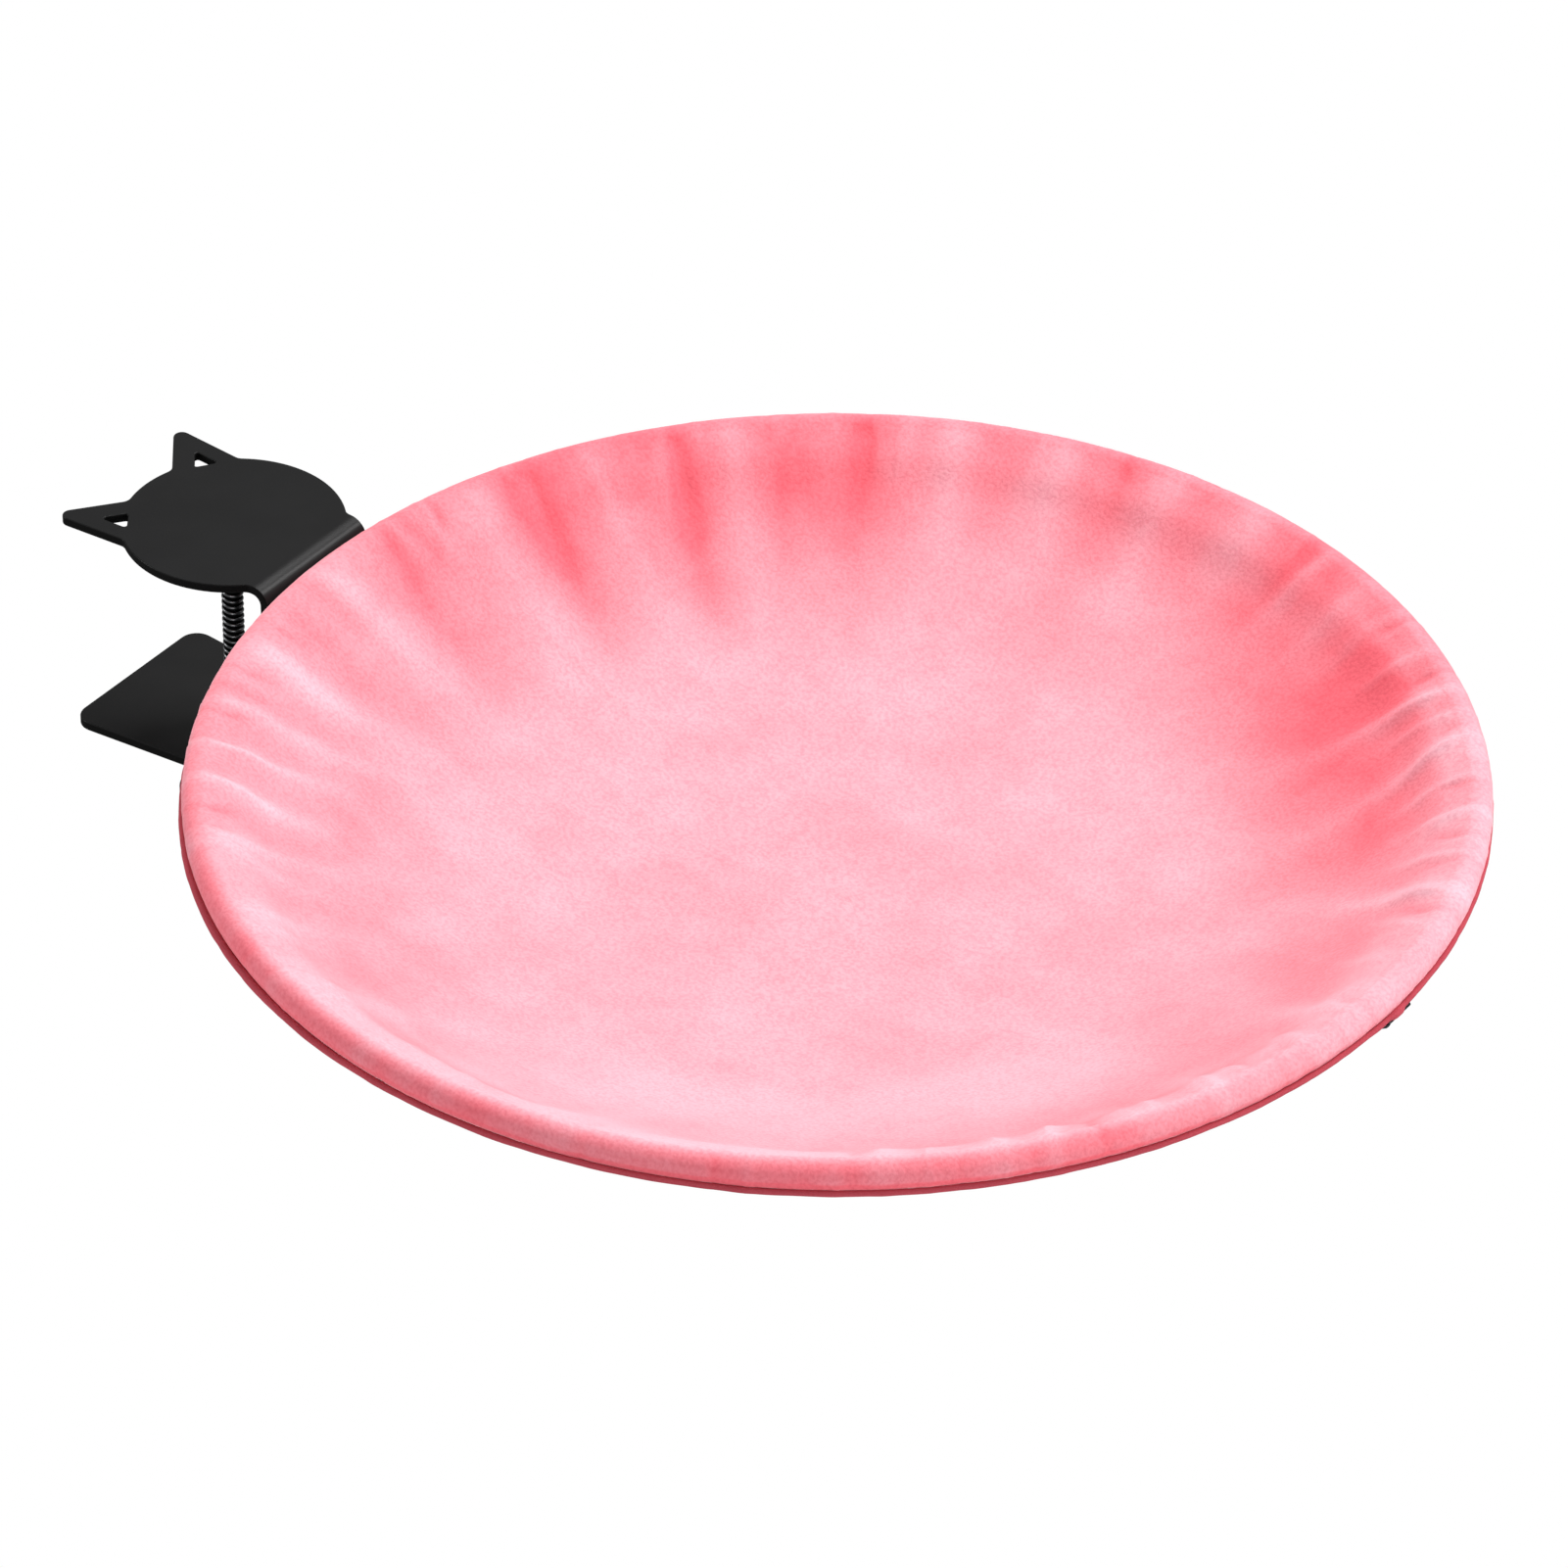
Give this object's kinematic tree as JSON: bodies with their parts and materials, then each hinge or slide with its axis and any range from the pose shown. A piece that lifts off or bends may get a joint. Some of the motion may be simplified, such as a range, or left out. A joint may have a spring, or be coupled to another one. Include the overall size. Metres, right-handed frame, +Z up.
{
  "type": "desk clamp cat hammock",
  "caption": "Round fabric bowl hammock for a cat, gathered over a hoop and held at a desk's edge by a bent plate clamp with a cat-face top and a screw foot.",
  "frame": {"origin": "on the clamp screw's axis, on the face of the top pad that rests on the desk", "axes": "+X away from the desk through the middle of the hoop, +Y along the desk's edge, +Z up"},
  "size_m": [0.5424, 0.4498, 0.1311],
  "materials": {
    "black_powder_coat": "fine matt black powder coat",
    "black_rubber": "matt",
    "black_oxide_steel": "black oxide, bright on the thread's crests",
    "black_plastic": "fine spark texture",
    "zinc_steel": "bright zinc plated",
    "pink_velvet": "short brushed pile",
    "white_wadding": "loose polyester fibre",
    "pink_lining": "plain weave",
    "coral_piping": "corded edge in the same pile",
    "zip_cloth": "woven tape",
    "zip_nylon": "coiled nylon",
    "dark_nickel": "black nickel plated"
  },
  "bodies": {
    "frame": {"clamp_bracket": "black_powder_coat", "top_pad": "black_rubber", "weld_nut": "black_powder_coat", "hoop_mount": "black_powder_coat", "mount_bolt_left": "zinc_steel", "mount_washer_left": "zinc_steel", "mount_nut_left": "zinc_steel", "mount_bolt_right": "zinc_steel", "mount_washer_right": "zinc_steel", "mount_nut_right": "zinc_steel", "hoop": "zinc_steel", "cover_velvet": "pink_velvet", "wadding": "white_wadding", "cover_lining": "pink_lining", "rim_piping": "coral_piping", "zip_tape_outer": "zip_cloth", "zip_tape_inner": "zip_cloth", "zip_chain": "zip_nylon", "zip_stop_closed": "dark_nickel", "zip_stop_open": "dark_nickel"},
    "foot": {"pressure_foot": "black_powder_coat", "foot_pad": "black_rubber"},
    "screw": {"clamp_screw": "black_oxide_steel", "screw_knob": "black_plastic", "knob_nut": "zinc_steel", "foot_clip": "zinc_steel"},
    "zip_slider": {"zip_slider": "dark_nickel"},
    "zip_pull": {"zip_pull": "dark_nickel"}
  },
  "joints": [
    {"name": "jaw_travel", "type": "slide", "parent": "frame", "child": "foot", "axis": [0, 0, 1], "range_m": [-0.0661, 0.00701]},
    {"name": "screw_turn", "type": "hinge", "parent": "foot", "child": "screw", "pos_m": [0, 0, -0.06], "axis": [0, 0, 1], "range_deg": [-9504, 1008]},
    {"name": "zip_slide", "type": "hinge", "parent": "frame", "child": "zip_slider", "pos_m": [0.2672, 0, 0.0045], "axis": [0, 0, 1], "range_deg": [0, 156]},
    {"name": "zip_pull_turn", "type": "hinge", "parent": "zip_slider", "child": "zip_pull", "pos_m": [0.48713, 0.00922, -0.00568], "axis": [-0.8589, -0.036, -0.5109], "range_deg": [0, 170]}
  ],
  "couplings": [
    {"joint": "jaw_travel", "follows": "screw_turn", "m_per_rad": 0.00039789}
  ]
}
